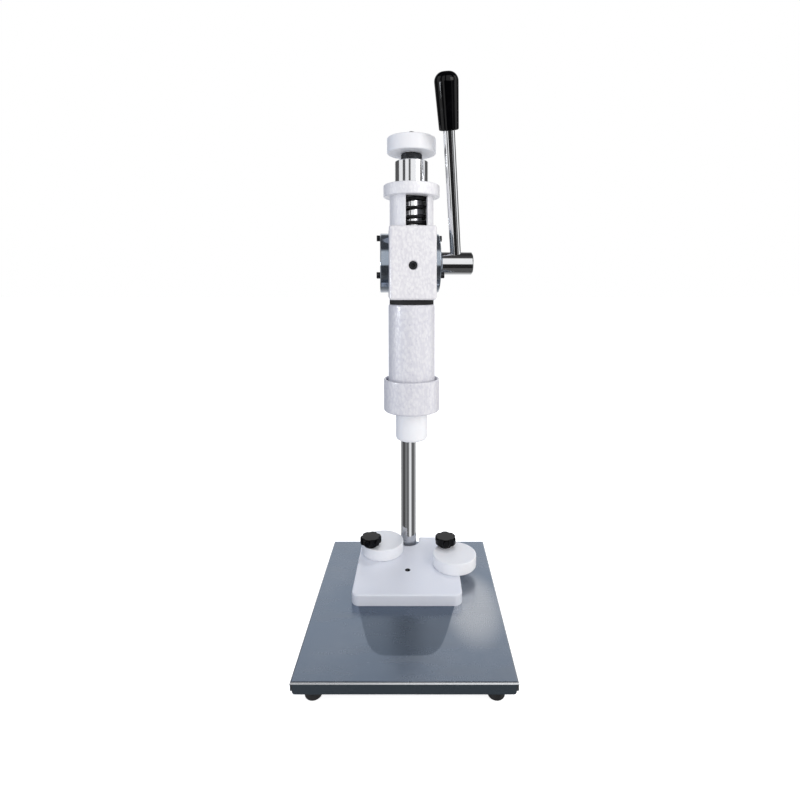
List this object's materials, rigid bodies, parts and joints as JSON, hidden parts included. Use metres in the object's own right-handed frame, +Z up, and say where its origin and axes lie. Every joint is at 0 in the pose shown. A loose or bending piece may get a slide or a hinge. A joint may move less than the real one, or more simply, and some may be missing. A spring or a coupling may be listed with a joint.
{
  "type": "perfume capping machine",
  "caption": "Table-top hand press that pushes a cap onto a bottle: lever, rack and pinion ram on a round column, nylon press head, locating plate with eccentric stop discs.",
  "frame": {"origin": "centre of the base's outline, on the surface that the feet stand on", "axes": "+Z up along the column, -Y towards the operator, +X to the operator's right, where the lever is"},
  "size_m": [0.25, 0.3, 0.7376],
  "materials": {
    "base_steel": "satin",
    "slab_steel": "matte",
    "foot_rubber": "matte",
    "zinc_steel": "satin",
    "black_steel": "satin",
    "chrome_bar": "polished",
    "white_nylon": "satin",
    "black_plastic": "gloss",
    "brass_insert": "satin",
    "hammered_iron": "satin",
    "hammered_alloy": "satin",
    "gunmetal": "satin",
    "bronze_bush": "satin",
    "buffer_rubber": "matte",
    "ground_steel": "satin",
    "spring_steel": "satin"
  },
  "bodies": {
    "base": {"base_cover": "base_steel", "base_slab": "slab_steel", "foot_front_left": "foot_rubber", "foot_front_right": "foot_rubber", "foot_rear_left": "foot_rubber", "foot_rear_right": "foot_rubber", "foot_screws": "zinc_steel", "column": "chrome_bar", "column_washer": "zinc_steel", "column_bolt": "zinc_steel", "locating_plate": "white_nylon", "plate_screws": "zinc_steel", "left_pivot_stud": "zinc_steel", "right_pivot_stud": "zinc_steel"},
    "left_disc": {"left_stop_disc": "white_nylon"},
    "right_disc": {"right_stop_disc": "white_nylon"},
    "left_knob": {"left_star_knob": "black_plastic", "left_knob_insert": "brass_insert"},
    "right_knob": {"right_star_knob": "black_plastic", "right_knob_insert": "brass_insert"},
    "height_collar": {"height_collar": "gunmetal", "collar_set_screw": "black_steel"},
    "head": {"press_block": "hammered_iron", "clamp_screws": "black_steel", "lower_guide_bush": "bronze_bush", "upper_guide_bush": "bronze_bush", "buffer_ring": "buffer_rubber", "gib_pad": "bronze_bush", "gib_screw": "black_steel", "spring_tube": "hammered_alloy", "guide_collar": "hammered_alloy", "tie_screws": "black_steel", "return_spring": "spring_steel", "left_flange": "gunmetal", "right_flange": "gunmetal", "left_flange_screws": "black_steel", "right_flange_screws": "black_steel", "left_shaft_bush": "bronze_bush", "right_shaft_bush": "bronze_bush"},
    "lever": {"pinion_shaft": "ground_steel", "thrust_washer": "bronze_bush", "lever_hub": "chrome_bar", "hub_set_screw": "black_steel", "lever_rod": "chrome_bar", "lever_grip": "black_plastic"},
    "ram": {"rack_ram": "ground_steel", "top_guide": "chrome_bar", "barrel": "hammered_alloy", "press_ring": "hammered_alloy", "press_head": "white_nylon", "press_stud": "zinc_steel"},
    "stop_knob": {"depth_screw": "zinc_steel", "lock_ring": "black_steel", "stop_knob": "white_nylon", "knob_cap_nut": "zinc_steel"}
  },
  "joints": [
    {"name": "head_height", "type": "slide", "parent": "base", "child": "height_collar", "axis": [0, 0, 1], "range_m": [-0.12, 0.035]},
    {"name": "head_swing", "type": "hinge", "parent": "height_collar", "child": "head", "pos_m": [0, 0.124, 0.442], "axis": [0, 0, 1], "continuous": true},
    {"name": "lever_turn", "type": "hinge", "parent": "head", "child": "lever", "pos_m": [0.00432, 0.06215, 0.494], "axis": [0.9976, 0.0698, 0], "range_deg": [0, 110]},
    {"name": "ram_slide", "type": "slide", "parent": "head", "child": "ram", "axis": [0, 0, -1], "range_m": [0, 0.0288], "stiffness_N_per_m": 5000, "springref_m": -0.02, "deforming": ["return_spring"]},
    {"name": "stop_knob_turn", "type": "hinge", "parent": "ram", "child": "stop_knob", "pos_m": [0.00593, 0.03921, 0.646], "axis": [0, 0, 1], "continuous": true},
    {"name": "left_disc_turn", "type": "hinge", "parent": "base", "child": "left_disc", "pos_m": [-0.057, 0.0754, 0.047], "axis": [0, 0, 1], "continuous": true},
    {"name": "right_disc_turn", "type": "hinge", "parent": "base", "child": "right_disc", "pos_m": [0.057, 0.0754, 0.047], "axis": [0, 0, 1], "continuous": true},
    {"name": "left_knob_turn", "type": "hinge", "parent": "base", "child": "left_knob", "pos_m": [-0.057, 0.0754, 0.064], "axis": [0, 0, 1], "continuous": true},
    {"name": "right_knob_turn", "type": "hinge", "parent": "base", "child": "right_knob", "pos_m": [0.057, 0.0754, 0.064], "axis": [0, 0, 1], "continuous": true}
  ],
  "couplings": [
    {"joint": "ram_slide", "follows": "lever_turn", "m_per_rad": 0.015}
  ]
}
